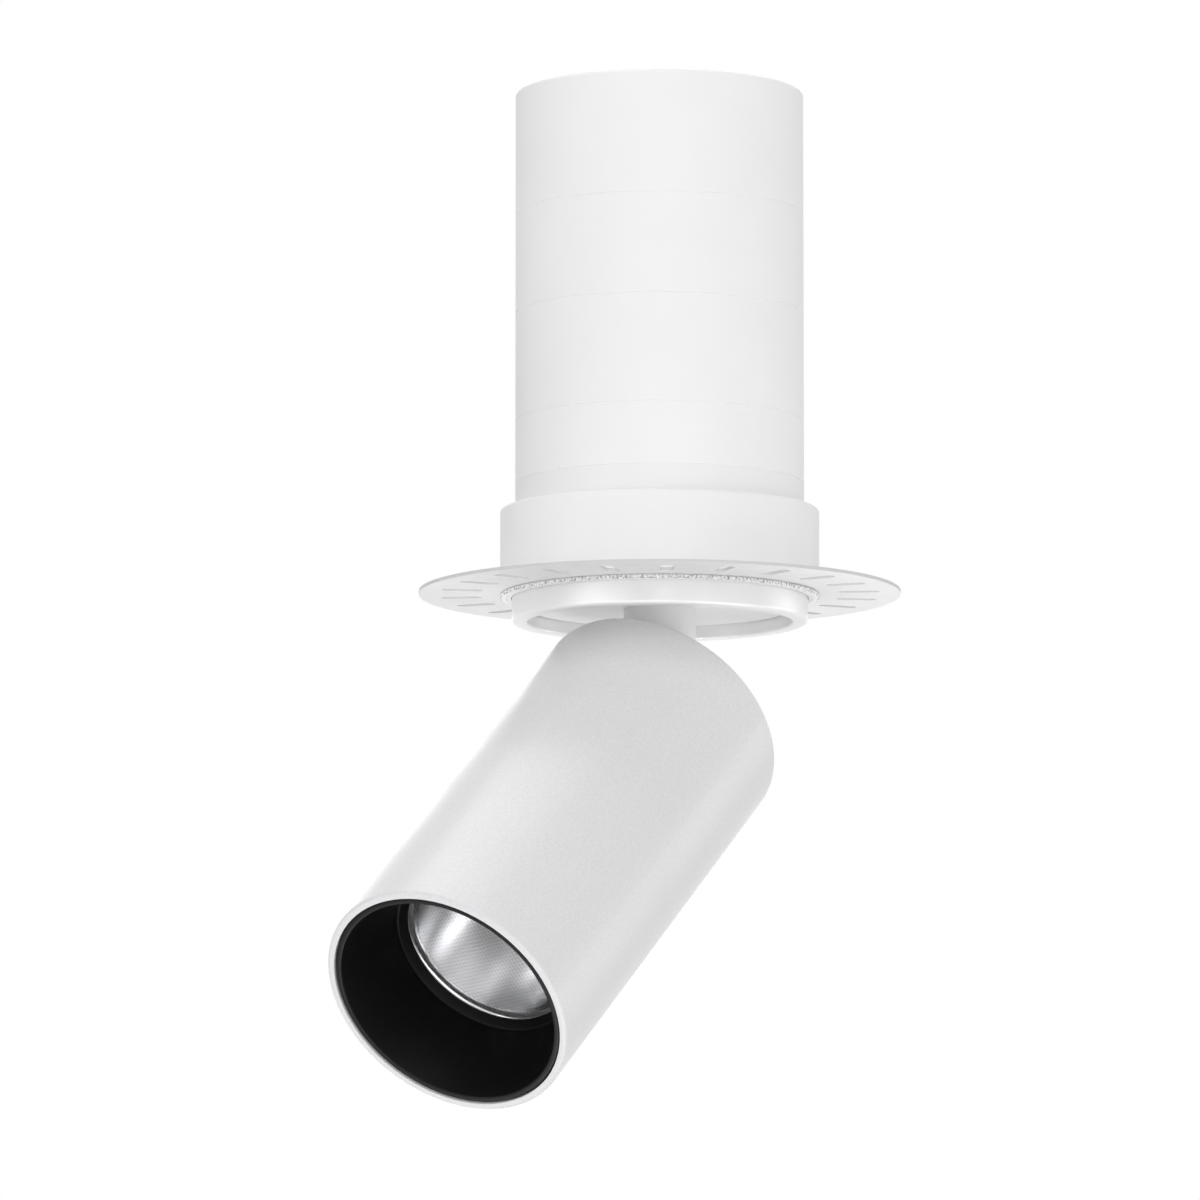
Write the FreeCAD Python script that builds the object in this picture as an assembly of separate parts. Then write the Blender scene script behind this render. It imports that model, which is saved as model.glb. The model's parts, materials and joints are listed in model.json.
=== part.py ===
"""Plaster-in recessed spotlight with a swivelling, tilting cylinder head.

Millimetres, +Z up. The origin is on the can's axis, at the upper face of the plaster flange,
which lies against the underside of the ceiling board. The can stands above the board and the
lamp head hangs below it, tilted and swivelled as it is photographed.
"""

import FreeCAD
import Part

import math
import os

V = FreeCAD.Vector

# Pose
REST_TILT = 50.0
REST_AZIMUTH = -36.0
TILT_MAX = 60.0

# Lamp head
HEAD_D = 60.0
HEAD_LEN = 111.0
TUBE_WALL = 1.7
TUBE_EDGE = 0.7
CAP_THICK = 11.0
CAP_CHAMFER = 0.6
HEAD_FIT = 0.1

# Knuckle between stem and head
STEM_D = 16.8
TONGUE_THICK = 8.0
PIVOT_ABOVE_REAR = 1.1
PIVOT_D = 4.0
PIVOT_RUN_FIT = 0.05
EAR_THICK = 4.0
EAR_R = 5.0
RIM_CLEARANCE = 0.85
STEM_CLEARANCE = 0.6
SLOT_CLEARANCE = 0.9
WASHER_THICK = 0.25
WASHER_R = 4.6
WASHER_GAP = 0.05
PIVOT_HEAD_R = 3.5
PIVOT_HEAD_H = 2.2
PIVOT_NUT_AF = 7.0
PIVOT_NUT_H = 3.2
PIVOT_THREAD_PROUD = 0.8
SPANNER_ROOM = 0.6
SPANNER_REACH = 2.5

# Heat sink and light source
SINK_BASE = 6.0
SINK_CORE_R = 8.0
SINK_FIN_COUNT = 15
SINK_FIN_THICK = 1.6
SINK_FIN_GAP = 0.8
SINK_BOSS_R = 3.4
TAP_FLOOR = 1.0
LEAD_HOLE_R = 2.2
LEAD_WALL = 2.5
PAD_THICK = 0.5
BOARD_SIDE = 19.0
BOARD_THICK = 1.5
EMITTER_R = 7.0
EMITTER_THICK = 0.6
HOLDER_H = 5.0
HOLDER_SCREW_CIRCLE = 18.5
HOLDER_RIM = 2.8
EMITTER_GAP = 0.6
BOARD_FIT = 0.15

# Reflector, lens and baffle
REFLECTOR_SEAT = 0.8
REFLECTOR_INSET = 0.5
REFLECTOR_WALL = 0.9
REFLECTOR_FLANGE = 1.5
REFLECTOR_LEN = 34.0
LENS_R = 22.2
LENS_THICK = 2.4
LENS_DOME = 0.9
LENS_FIT = 0.2
SEAL_THICK = 0.6
SEAL_WIDTH = 1.0
BAFFLE_RECESS = 0.3
BAFFLE_RIM = 1.5
BAFFLE_BARREL = 8.0
BAFFLE_CONE = 20.2
BAFFLE_BEVEL = 2.2
BAFFLE_BEVEL_WIDTH = 1.3
LENS_LIP = 1.3
BAFFLE_WALL = 1.3
BAFFLE_SKIRT = 5.0
O_RING_R = 0.8
O_RING_GAP = 0.06
O_RING_DEPTH = 4.6

# Bezel, collar and plaster flange
HEAD_CLEARANCE = 0.8
BEZEL_WALL = 3.6
BEZEL_DROP = 7.5
BEZEL_OUTER_ROUND = 1.0
BEZEL_INNER_ROUND = 0.5
BEZEL_GAP = 0.2
BEZEL_THREAD_WALL = 1.65
BEZEL_THREAD_H = 3.4
BEZEL_SEAT = 1.0
THREAD_GAP = 0.05
SPIGOT_WALL = 1.0
RING_NUT_WALL = 1.45
RING_NUT_H = 1.0
RING_NUT_ROUND = 0.3
COLLAR_H = 19.0
COLLAR_STEP = 3.5
COLLAR_ROUND = 0.8
LIP_MARGIN = 1.5
LIP_THICK = 3.0
FLANGE_REACH = 18.9
FLANGE_THICK = 0.8
FLANGE_SEAT = 0.3
FLANGE_SEAT_FIT = 0.1
FLANGE_SLOTS = 22
SLOT_OFFSET = 9.4
SLOT_LEN = 9.6
SLOT_WIDTH = 3.2

# Can, a stack of lapped sleeves
CAN_WALL = 1.8
CAN_FIT = 0.1
CAN_ROUND = 1.0
CAN_TOP_THICK = 2.0
BASE_SHOWN = 6.2
LOWER_H = 14.6
MIDDLE_H = 25.3
UPPER_H = 23.5
TOP_H = 28.7
LAP_H = 3.0
LAP_SHARE = 0.85
LAP_GAP = 0.05
SEAM_CHAMFER = 0.18
GROMMET_HOLE_R = 6.5
GROMMET_BORE_R = 4.0
GROMMET_LIP = 2.0
GROMMET_LIP_H = 2.0
GROMMET_FIT = 0.05

# Swivel
DISC_RECESS = 3.2
DISC_THICK = 2.0
DISC_GAP = 0.4
DISC_ROUND = 0.4
BULKHEAD_THICK = 3.0
BUSH_FLANGE_R = 12.0
BUSH_FLANGE_H = 2.2
BUSH_WALL = 2.0
BUSH_PROUD = 0.5
SPINDLE_R = 6.0
SPINDLE_BORE_R = 4.0
SPINDLE_BOSS_R = 10.0
SPINDLE_SCREW_R = 5.0
SPINDLE_SCREW_LEN = 7.0
SPINDLE_PROUD = 1.5
SWIVEL_RUN_FIT = 0.05
SWIVEL_END_GAP = 0.3
THRUST_WASHER_R = 11.0
THRUST_WASHER_H = 1.0
SPRING_R = 10.0
SPRING_THICK = 0.6
SPRING_RISE = 0.8
SPINDLE_NUT_AF = 18.0
SPINDLE_NUT_H = 4.5
STOP_GAP = 2.25
STOP_PEG_R = 1.25
STOP_TAB_R = 1.0
STOP_TAB_BITE = 3.0
STOP_TAB_DROP = 3.2
STEM_LEAD_R = 1.6
STEM_LEAD_GAP = 0.9

# Driver inside the can
DRIVER_X = 26.0
DRIVER_SIDE_GAP = 3.35
WIRING_ROOM = 9.4
DRIVER_WALL = 1.6
DRIVER_ROUND = 2.0
DRIVER_LIFT = 5.0
DRIVER_LID = 2.0
DRIVER_FIT = 0.2
DRIVER_BOARD_THICK = 1.6
DRIVER_BOARD_GAP = 6.0
DRIVER_BOARD_SHIFT = 9.0
BRACKET_THICK = 1.2
BRACKET_GAP = 2.0
BRACKET_WIDTH = 16.0
FOOT_MARGIN = 0.6
BRACKET_TOP_GAP = 8.0
BRACKET_SCREW_SPREAD = 9.0
DRIVER_SCREW_SPREAD = 30.0
TERMINAL_X = 14.0
TERMINAL_Y = 30.0
TERMINAL_Z = 11.0
TERMINAL_POLES = 3
TERMINAL_HOLE_R = 2.0
TERMINAL_HOLE_RISE = 4.0
TERMINAL_SCREW_R = 1.6
TERMINAL_SCREW_BITE = 3.0

# Small screws, all of one thread size
SCREW_R = 1.5
SCREW_HEAD_R = 2.7
SCREW_HEAD_H = 1.9
SCREW_FIT = 0.1
SCREW_SLOT = 0.7
SCREW_WALL_GAP = 0.4
CLAMP_SCREWS = 3
CAP_SCREW_CIRCLE = 20.0
CAP_SCREW_BITE = 10.0
GRUB_BITE = 4.0
GRUB_SOCKET_AF = 1.5
GRUB_SOCKET_DEPTH = 1.6
GRUB_SINK = 0.4

# How far a cutting tool reaches past the face that it cuts
OVERCUT = 1.0

# Radii worked out from the head outwards
HEAD_R = HEAD_D / 2
TUBE_BORE_R = HEAD_R - TUBE_WALL
CORE_R = TUBE_BORE_R - HEAD_FIT
BEZEL_BORE_R = HEAD_R + HEAD_CLEARANCE
BEZEL_R = BEZEL_BORE_R + BEZEL_WALL
BEZEL_THREAD_R = BEZEL_BORE_R + BEZEL_THREAD_WALL
SPIGOT_BORE_R = BEZEL_R + BEZEL_GAP
SPIGOT_R = SPIGOT_BORE_R + SPIGOT_WALL
NUT_BORE_R = SPIGOT_R + THREAD_GAP
COLLAR_R = NUT_BORE_R + RING_NUT_WALL
CAN_R = COLLAR_R - COLLAR_STEP
SOCKET_R = CAN_R + CAN_FIT
CAN_BORE_R = CAN_R - CAN_WALL
SCREW_CIRCLE_R = CAN_BORE_R - SCREW_HEAD_R - SCREW_WALL_GAP
LIP_R = SCREW_CIRCLE_R - SCREW_R - LIP_MARGIN
FLANGE_R = COLLAR_R + FLANGE_REACH
SLOT_CIRCLE_R = COLLAR_R + SLOT_OFFSET
STEM_R = STEM_D / 2
PIVOT_R = PIVOT_D / 2
BUSH_BORE_R = SPINDLE_R + SWIVEL_RUN_FIT
BUSH_R = BUSH_BORE_R + BUSH_WALL
STOP_CIRCLE_R = BUSH_FLANGE_R + STOP_GAP + STOP_PEG_R
BRACKET_X = THRUST_WASHER_R + BRACKET_GAP
FOOT_END_X = BRACKET_X + BRACKET_THICK + 2 * (SCREW_HEAD_R + FOOT_MARGIN)
DRIVER_MID_X = BRACKET_X - DRIVER_X / 2
DRIVER_HALF_Y = math.sqrt((SCREW_CIRCLE_R - SCREW_R - DRIVER_SIDE_GAP) ** 2 - BRACKET_X ** 2)

# Heights worked out from the flange face at zero
NUT_LOW = -FLANGE_THICK - RING_NUT_H
LIP_LOW = BEZEL_SEAT + BEZEL_THREAD_H + CAN_FIT
LIP_TOP = LIP_LOW + LIP_THICK
BULKHEAD_TOP = LIP_TOP + BULKHEAD_THICK
BASE_TOP = COLLAR_H + BASE_SHOWN
LOWER_TOP = BASE_TOP + LOWER_H
MIDDLE_TOP = LOWER_TOP + MIDDLE_H
UPPER_TOP = MIDDLE_TOP + UPPER_H
CAN_TOP = UPPER_TOP + TOP_H
DISC_LOW = DISC_RECESS - BEZEL_DROP
DISC_TOP = DISC_LOW + DISC_THICK
BUSH_LOW = LIP_TOP - BUSH_FLANGE_H
BUSH_TOP = BULKHEAD_TOP + BUSH_PROUD
BOSS_TOP = BUSH_LOW - SWIVEL_END_GAP
SPRING_LOW = BUSH_TOP + THRUST_WASHER_H + SWIVEL_RUN_FIT
NUTS_LOW = SPRING_LOW + SPRING_RISE + SPRING_THICK
SPINDLE_TOP = NUTS_LOW + 2 * SPINDLE_NUT_H + SPINDLE_PROUD
DRIVER_LOW = SPINDLE_TOP + DRIVER_LIFT
DRIVER_TOP = CAN_TOP - CAN_TOP_THICK - GROMMET_LIP_H - WIRING_ROOM - TERMINAL_Z - DRIVER_LID

# The pivot hangs low enough for the head's rear rim to clear the swivel disc at full tilt.
FULL_SIN = math.sin(math.radians(TILT_MAX))
FULL_COS = math.cos(math.radians(TILT_MAX))
PIVOT_Z = DISC_LOW - HEAD_R * FULL_SIN + PIVOT_ABOVE_REAR * FULL_COS - RIM_CLEARANCE
# The stem is round again where its round part clears the rear face at full tilt.
STEM_ROUND_RISE = (STEM_R * FULL_SIN - PIVOT_ABOVE_REAR + STEM_CLEARANCE) / FULL_COS
# The stem's tongue leaves the cap's slot this far from the pivot at full tilt.
SLOT_REACH = ((STEM_R * FULL_SIN - PIVOT_ABOVE_REAR) / FULL_COS * FULL_SIN + STEM_R * FULL_COS)

# Heights along the upright head, measured down from the pivot
REAR = -PIVOT_ABOVE_REAR
MOUTH = REAR - HEAD_LEN
CAP_LOW = REAR - CAP_THICK
BAFFLE_FRONT = MOUTH + BAFFLE_RECESS
BAFFLE_STEP = BAFFLE_FRONT + BAFFLE_CONE
BAFFLE_SEAT = BAFFLE_STEP + BAFFLE_BEVEL
LENS_LOW = BAFFLE_SEAT + SEAL_THICK
LENS_TOP = LENS_LOW + LENS_THICK
REFLECTOR_TOP = LENS_TOP + REFLECTOR_LEN
HOLDER_TOP = REFLECTOR_TOP + HOLDER_H
SINK_LOW = HOLDER_TOP
SINK_BASE_TOP = SINK_LOW + SINK_BASE
BAFFLE_MOUTH_R = CORE_R - BAFFLE_RIM
BAFFLE_THROAT_R = LENS_R - LENS_LIP
BAFFLE_STEP_R = BAFFLE_THROAT_R + BAFFLE_BEVEL_WIDTH
REFLECTOR_MOUTH_R = BAFFLE_THROAT_R - REFLECTOR_INSET
HOLDER_R = HOLDER_SCREW_CIRCLE + SCREW_HEAD_R + HOLDER_RIM
HOLDER_MOUTH_R = EMITTER_R + EMITTER_GAP
REFLECTOR_THROAT_R = HOLDER_MOUTH_R + REFLECTOR_SEAT
LEAD_HOLE_OFFSET = STEM_R + SLOT_CLEARANCE + LEAD_HOLE_R + LEAD_WALL
EAR_IN = TONGUE_THICK / 2 + WASHER_THICK + WASHER_GAP
EAR_OUT = EAR_IN + EAR_THICK


def wire_of(points):
    """A closed outline in the XZ plane. A point is (radius, height) or (radius, height, rounding)."""
    corners = [V(p[0], 0, p[1]) for p in points]
    edges = []
    first = last = None
    for i, corner in enumerate(corners):
        rounding = points[i][2] if len(points[i]) > 2 else 0
        start = end = corner
        arc = None
        if rounding:
            back = (corners[i - 1] - corner).normalize()
            ahead = (corners[(i + 1) % len(corners)] - corner).normalize()
            half = back.getAngle(ahead) / 2
            start = corner + back * (rounding / math.tan(half))
            end = corner + ahead * (rounding / math.tan(half))
            inward = (back + ahead).normalize()
            middle = corner + inward * (rounding / math.sin(half) - rounding)
            arc = Part.Arc(start, middle, end).toShape()
        if last is not None:
            edges.append(Part.LineSegment(last, start).toShape())
        if arc is not None:
            edges.append(arc)
        first = start if first is None else first
        last = end
    edges.append(Part.LineSegment(last, first).toShape())
    return Part.Wire(edges)


def spun(wire):
    return Part.Face(wire).revolve(V(0, 0, 0), V(0, 0, 1), 360)


def turned(points):
    return spun(wire_of(points))


def ring(inner, outer, low, high):
    return turned([(inner, low), (outer, low), (outer, high), (inner, high)])


def rod(radius, start, end):
    return Part.makeCylinder(radius, (end - start).Length, start, end - start)


def post(radius, x, y, low, high):
    return rod(radius, V(x, y, low), V(x, y, high))


def hole(radius, x, y, low, high):
    """The tool for an upright hole that goes right through from low to high."""
    return post(radius, x, y, low - OVERCUT, high + OVERCUT)


def block(low, high):
    size = V(*high) - V(*low)
    return Part.makeBox(size.x, size.y, size.z, V(*low))


def around(count, radius, first=0.0):
    """Evenly spaced places on a circle, as (x, y, angle in degrees)."""
    angles = [first + 360.0 * k / count for k in range(count)]
    return [(radius * math.cos(math.radians(a)), radius * math.sin(math.radians(a)), a) for a in angles]


def hexagon(across_flats, low, high):
    corners = [V(x, y, low) for x, y, _ in around(6, across_flats / math.sqrt(3))]
    outline = Part.makePolygon(corners + corners[:1])
    return Part.Face(outline).extrude(V(0, 0, high - low))


def cut(shape, *tools):
    return shape.cut(list(tools)).Solids[0]


def joined(shape, *others):
    return shape.fuse(list(others)).removeSplitter().Solids[0]


def group(solids):
    return Part.makeCompound(solids)


def pan_screw(x, y, seat, tip):
    """A slotted pan-head screw standing upright, head above its seat, tip below."""
    head = turned([(0, seat), (SCREW_HEAD_R, seat), (SCREW_HEAD_R, seat + SCREW_HEAD_H, SCREW_HEAD_H / 2),
                   (0, seat + SCREW_HEAD_H)])
    slot = block((-SCREW_HEAD_R, -SCREW_SLOT / 2, seat + SCREW_HEAD_H / 2),
                 (SCREW_HEAD_R, SCREW_SLOT / 2, seat + 2 * SCREW_HEAD_H))
    screw = joined(head.cut(slot), post(SCREW_R, 0, 0, tip, seat))
    screw.translate(V(x, y, 0))
    return screw


def countersunk(x, y, seat, tip, fit):
    """A countersunk screw's solid, or with a fit the hole that it goes in."""
    shape = turned([(0, tip), (SCREW_R + fit, tip), (SCREW_R + fit, seat - SCREW_HEAD_H + fit),
                    (SCREW_HEAD_R + fit, seat), (0, seat)])
    shape.translate(V(x, y, 0))
    return shape


def flush_screw(x, y, seat, tip):
    """A slotted countersunk screw standing upright, its head flush with the seat."""
    slot = block((x - SCREW_HEAD_R, y - SCREW_SLOT / 2, seat - SCREW_HEAD_H / 2),
                 (x + SCREW_HEAD_R, y + SCREW_SLOT / 2, seat + OVERCUT))
    return cut(countersunk(x, y, seat, tip, 0), slot)


# Plaster-in frame

def plaster_flange():
    seat_r = COLLAR_R + FLANGE_SEAT_FIT
    plate = turned([(NUT_BORE_R, -FLANGE_THICK), (FLANGE_R, -FLANGE_THICK), (FLANGE_R, 0), (seat_r, 0),
                    (seat_r, -FLANGE_SEAT), (NUT_BORE_R, -FLANGE_SEAT)])
    half = (SLOT_LEN - SLOT_WIDTH) / 2
    slots = []
    for x, y, angle in around(FLANGE_SLOTS, SLOT_CIRCLE_R, -90):
        body = block((-half, -SLOT_WIDTH / 2, -2 * FLANGE_THICK), (half, SLOT_WIDTH / 2, FLANGE_THICK))
        ends = [post(SLOT_WIDTH / 2, s * half, 0, -2 * FLANGE_THICK, FLANGE_THICK) for s in (-1, 1)]
        slot = body.fuse(ends).removeSplitter()
        slot.rotate(V(0, 0, 0), V(0, 0, 1), angle)
        slot.translate(V(x, y, 0))
        slots.append(slot)
    return cut(plate, *slots)


def flange_ring_nut():
    low = NUT_LOW
    return turned([(NUT_BORE_R, low), (COLLAR_R, low, RING_NUT_ROUND), (COLLAR_R, -FLANGE_THICK),
                   (NUT_BORE_R, -FLANGE_THICK)])


def plaster_collar():
    thread_r = BEZEL_THREAD_R + THREAD_GAP
    shell = turned([
        (SPIGOT_BORE_R, NUT_LOW), (SPIGOT_R, NUT_LOW), (SPIGOT_R, -FLANGE_SEAT),
        (COLLAR_R - FLANGE_SEAT, -FLANGE_SEAT), (COLLAR_R, 0), (COLLAR_R, COLLAR_H, COLLAR_ROUND),
        (SOCKET_R, COLLAR_H), (SOCKET_R, LIP_TOP), (LIP_R, LIP_TOP), (LIP_R, LIP_LOW),
        (thread_r, LIP_LOW), (thread_r, BEZEL_SEAT), (SPIGOT_BORE_R, BEZEL_SEAT)])
    holes = [hole(SCREW_R + SCREW_FIT, x, y, LIP_LOW, LIP_TOP)
             for x, y, _ in bulkhead_screw_places()]
    return cut(shell, *holes)


def bezel_ring():
    inner_round = min(BEZEL_INNER_ROUND, BEZEL_WALL / 4)
    outer_round = min(BEZEL_OUTER_ROUND, BEZEL_WALL * 2 / 3)
    return turned([
        (BEZEL_BORE_R, -BEZEL_DROP, inner_round), (BEZEL_R, -BEZEL_DROP, outer_round),
        (BEZEL_R, BEZEL_SEAT), (BEZEL_THREAD_R, BEZEL_SEAT), (BEZEL_THREAD_R, BEZEL_SEAT + BEZEL_THREAD_H),
        (BEZEL_BORE_R, BEZEL_SEAT + BEZEL_THREAD_H)])


# Can

def lap_r():
    """Radius of the joint face between a sleeve's tongue and the rebate of the sleeve above."""
    return CAN_BORE_R + CAN_WALL * LAP_SHARE / 2


def tongue_outline(top):
    return [(CAN_R - SEAM_CHAMFER, top), (lap_r(), top), (lap_r(), top + LAP_H), (CAN_BORE_R, top + LAP_H)]


def rebate_outline(low):
    inner = lap_r() + LAP_GAP
    return [(CAN_BORE_R, low + LAP_H + LAP_GAP), (inner, low + LAP_H + LAP_GAP), (inner, low),
            (CAN_R - SEAM_CHAMFER, low), (CAN_R, low + SEAM_CHAMFER)]


def sleeve(low, top):
    return turned(rebate_outline(low) + [(CAN_R, top - SEAM_CHAMFER)] + tongue_outline(top))


def can_base_section():
    return turned([(CAN_BORE_R, BULKHEAD_TOP), (CAN_R, BULKHEAD_TOP), (CAN_R, BASE_TOP - SEAM_CHAMFER)]
                  + tongue_outline(BASE_TOP))


def can_lower_section():
    return sleeve(BASE_TOP, LOWER_TOP)


def can_middle_section():
    return sleeve(LOWER_TOP, MIDDLE_TOP)


def can_upper_section():
    return sleeve(MIDDLE_TOP, UPPER_TOP)


def can_top_section():
    ceiling = CAN_TOP - CAN_TOP_THICK
    cup = turned(rebate_outline(UPPER_TOP) + [
        (CAN_R, CAN_TOP, CAN_ROUND), (GROMMET_HOLE_R, CAN_TOP), (GROMMET_HOLE_R, ceiling),
        (CAN_BORE_R, ceiling)])
    holes = [countersunk(x, y, CAN_TOP, ceiling - OVERCUT, SCREW_FIT) for x, y, _ in tie_screw_places()]
    return cut(cup, *holes)


def cable_grommet():
    ceiling = CAN_TOP - CAN_TOP_THICK
    lip = GROMMET_HOLE_R + GROMMET_LIP
    neck = GROMMET_HOLE_R - GROMMET_FIT
    return turned([
        (GROMMET_BORE_R, ceiling - GROMMET_LIP_H), (lip, ceiling - GROMMET_LIP_H, GROMMET_LIP_H / 2),
        (lip, ceiling), (neck, ceiling), (neck, CAN_TOP), (lip, CAN_TOP),
        (lip, CAN_TOP + GROMMET_LIP_H, GROMMET_LIP_H / 2), (GROMMET_BORE_R, CAN_TOP + GROMMET_LIP_H)])


def tie_screw_places():
    return around(CLAMP_SCREWS, SCREW_CIRCLE_R, 90)


def bulkhead_screw_places():
    return around(CLAMP_SCREWS, SCREW_CIRCLE_R, 90 + 180 / CLAMP_SCREWS)


def tie_screws():
    return group([flush_screw(x, y, CAN_TOP, LIP_TOP) for x, y, _ in tie_screw_places()])


# Bulkhead and swivel bearing

def bulkhead():
    plate = ring(BUSH_R + SWIVEL_RUN_FIT, CAN_R, LIP_TOP, BULKHEAD_TOP)
    places = tie_screw_places() + bulkhead_screw_places()
    places += [(x, y, 0) for x, y in bracket_screw_places()]
    holes = [hole(SCREW_R + SCREW_FIT, x, y, LIP_TOP, BULKHEAD_TOP) for x, y, _ in places]
    peg = hole(STOP_PEG_R + SCREW_FIT, *stop_peg_place(), LIP_TOP, BULKHEAD_TOP)
    return cut(plate, peg, *holes)


def bulkhead_screws():
    return group([pan_screw(x, y, BULKHEAD_TOP, LIP_LOW) for x, y, _ in bulkhead_screw_places()])


def swivel_bush():
    return turned([
        (BUSH_BORE_R, BUSH_LOW), (BUSH_FLANGE_R, BUSH_LOW), (BUSH_FLANGE_R, LIP_TOP), (BUSH_R, LIP_TOP),
        (BUSH_R, BUSH_TOP), (BUSH_BORE_R, BUSH_TOP)])


def thrust_washer():
    return ring(BUSH_BORE_R, THRUST_WASHER_R, BUSH_TOP, BUSH_TOP + THRUST_WASHER_H)


def stop_peg_place():
    """The peg stands straight across from where the stop tab rests."""
    angle = math.radians(REST_AZIMUTH + 90)
    return STOP_CIRCLE_R * math.cos(angle), STOP_CIRCLE_R * math.sin(angle)


def stop_peg():
    x, y = stop_peg_place()
    low = BOSS_TOP - STOP_TAB_DROP - STOP_TAB_R
    return post(STOP_PEG_R, x, y, low, BULKHEAD_TOP)


# Swivelling stem, built with its tilt plane on YZ and then turned to its rest azimuth

def swivelled(shape):
    shape.rotate(V(0, 0, 0), V(0, 0, 1), REST_AZIMUTH)
    return shape


def swivel_disc():
    radius = BEZEL_BORE_R - DISC_GAP
    inner = SPINDLE_SCREW_R + SCREW_FIT
    return turned([(inner, DISC_LOW), (radius, DISC_LOW, DISC_ROUND), (radius, DISC_TOP), (inner, DISC_TOP)])


def stop_tab_height():
    return BOSS_TOP - STOP_TAB_DROP


def spindle():
    low = DISC_LOW - SPINDLE_SCREW_LEN
    body = turned([
        (SPINDLE_BORE_R, low), (SPINDLE_SCREW_R, low), (SPINDLE_SCREW_R, DISC_TOP),
        (SPINDLE_BOSS_R, DISC_TOP), (SPINDLE_BOSS_R, BOSS_TOP), (SPINDLE_R, BOSS_TOP),
        (SPINDLE_R, SPINDLE_TOP), (SPINDLE_BORE_R, SPINDLE_TOP)])
    height = stop_tab_height()
    tab_hole = rod(STOP_TAB_R + SWIVEL_RUN_FIT, V(0, -(SPINDLE_BOSS_R - STOP_TAB_BITE), height),
               V(0, -2 * SPINDLE_BOSS_R, height))
    return swivelled(cut(body, tab_hole))


def stop_tab():
    height = stop_tab_height()
    tip = STOP_CIRCLE_R + STOP_PEG_R
    return swivelled(rod(STOP_TAB_R, V(0, -(SPINDLE_BOSS_R - STOP_TAB_BITE), height), V(0, -tip, height)))


def disc_spring():
    top = SPRING_LOW + SPRING_RISE
    return turned([
        (SPRING_R, SPRING_LOW), (SPRING_R, SPRING_LOW + SPRING_THICK),
        (BUSH_BORE_R, top + SPRING_THICK), (BUSH_BORE_R, top)])


def spindle_nuts():
    nuts = []
    for k in range(2):
        low = NUTS_LOW + k * SPINDLE_NUT_H
        bore = hole(SPINDLE_R + SWIVEL_RUN_FIT, 0, 0, low, low + SPINDLE_NUT_H)
        nuts.append(swivelled(cut(hexagon(SPINDLE_NUT_AF, low, low + SPINDLE_NUT_H), bore)))
    return group(nuts)


def swivel_stem():
    """A round post that is milled to a flat tongue round the pivot."""
    foot = PIVOT_Z - STEM_R
    shoulder = PIVOT_Z + STEM_ROUND_RISE
    post_part = post(STEM_R, 0, 0, PIVOT_Z, DISC_LOW)
    across = rod(STEM_R, V(-STEM_R, 0, PIVOT_Z), V(STEM_R, 0, PIVOT_Z))
    body = joined(post_part, across.common(post(STEM_R, 0, 0, foot, PIVOT_Z)))
    flats = []
    for side in (-1, 1):
        near, far = sorted((side * TONGUE_THICK / 2, side * 2 * STEM_R))
        flats.append(block((near, -2 * STEM_R, foot - OVERCUT), (far, 2 * STEM_R, shoulder)))
    screw_end = DISC_LOW - SPINDLE_SCREW_LEN - THREAD_GAP
    screw_bore = post(SPINDLE_SCREW_R + THREAD_GAP, 0, 0, screw_end, DISC_LOW + OVERCUT)
    lead_z = screw_end - STEM_LEAD_GAP - STEM_LEAD_R
    lead_bore = post(STEM_LEAD_R, 0, 0, lead_z, DISC_LOW)
    lead_exit = rod(STEM_LEAD_R, V(0, 0, lead_z), V(0, 2 * STEM_R, lead_z))
    pivot_hole = rod(PIVOT_R + PIVOT_RUN_FIT, V(-STEM_R, 0, PIVOT_Z), V(STEM_R, 0, PIVOT_Z))
    return swivelled(cut(body, *flats, screw_bore, lead_bore, lead_exit, pivot_hole))


# Lamp head, built upright with the pivot at zero and then hung at its rest pose

def hung(shape):
    shape.rotate(V(0, 0, 0), V(1, 0, 0), -REST_TILT)
    shape.translate(V(0, 0, PIVOT_Z))
    return swivelled(shape)


def along_x(radius, start, end):
    return rod(radius, V(start, 0, 0), V(end, 0, 0))


def cap_screw_places():
    return around(CLAMP_SCREWS, CAP_SCREW_CIRCLE)


def rear_cap():
    """A plug with two ears that carry the pivot, and a slot that the stem's tongue swings in."""
    plug = turned([(0, CAP_LOW), (CORE_R, CAP_LOW), (CORE_R, REAR - CAP_CHAMFER),
                   (CORE_R - CAP_CHAMFER, REAR), (0, REAR)])
    ears = []
    for side in (-1, 1):
        near, far = sorted((side * EAR_IN, side * EAR_OUT))
        ears.append(along_x(EAR_R, near, far))
        ears.append(block((near, -EAR_R, REAR - EAR_THICK), (far, EAR_R, 0)))
    body = joined(plug, *ears)
    slot = block((-EAR_IN, -SLOT_REACH - 2 * SLOT_CLEARANCE, -STEM_R - SLOT_CLEARANCE),
                 (EAR_IN, STEM_R + SLOT_CLEARANCE, EAR_R + OVERCUT))
    pivot = along_x(PIVOT_R + THREAD_GAP, -HEAD_R, HEAD_R)
    spanner_r = max(PIVOT_NUT_AF / math.sqrt(3), PIVOT_HEAD_R) + SPANNER_ROOM
    spanner_end = EAR_OUT + PIVOT_NUT_H + PIVOT_THREAD_PROUD + SPANNER_REACH
    spanner_bays = [along_x(spanner_r, side * EAR_OUT, side * spanner_end) for side in (-1, 1)]
    lead = hole(LEAD_HOLE_R + GROMMET_FIT, 0, LEAD_HOLE_OFFSET, CAP_LOW, REAR)
    screws = [countersunk(x, y, REAR, CAP_LOW - OVERCUT, SCREW_FIT) for x, y, _ in cap_screw_places()]
    return hung(cut(body, slot, pivot, lead, *spanner_bays, *screws))


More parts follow.
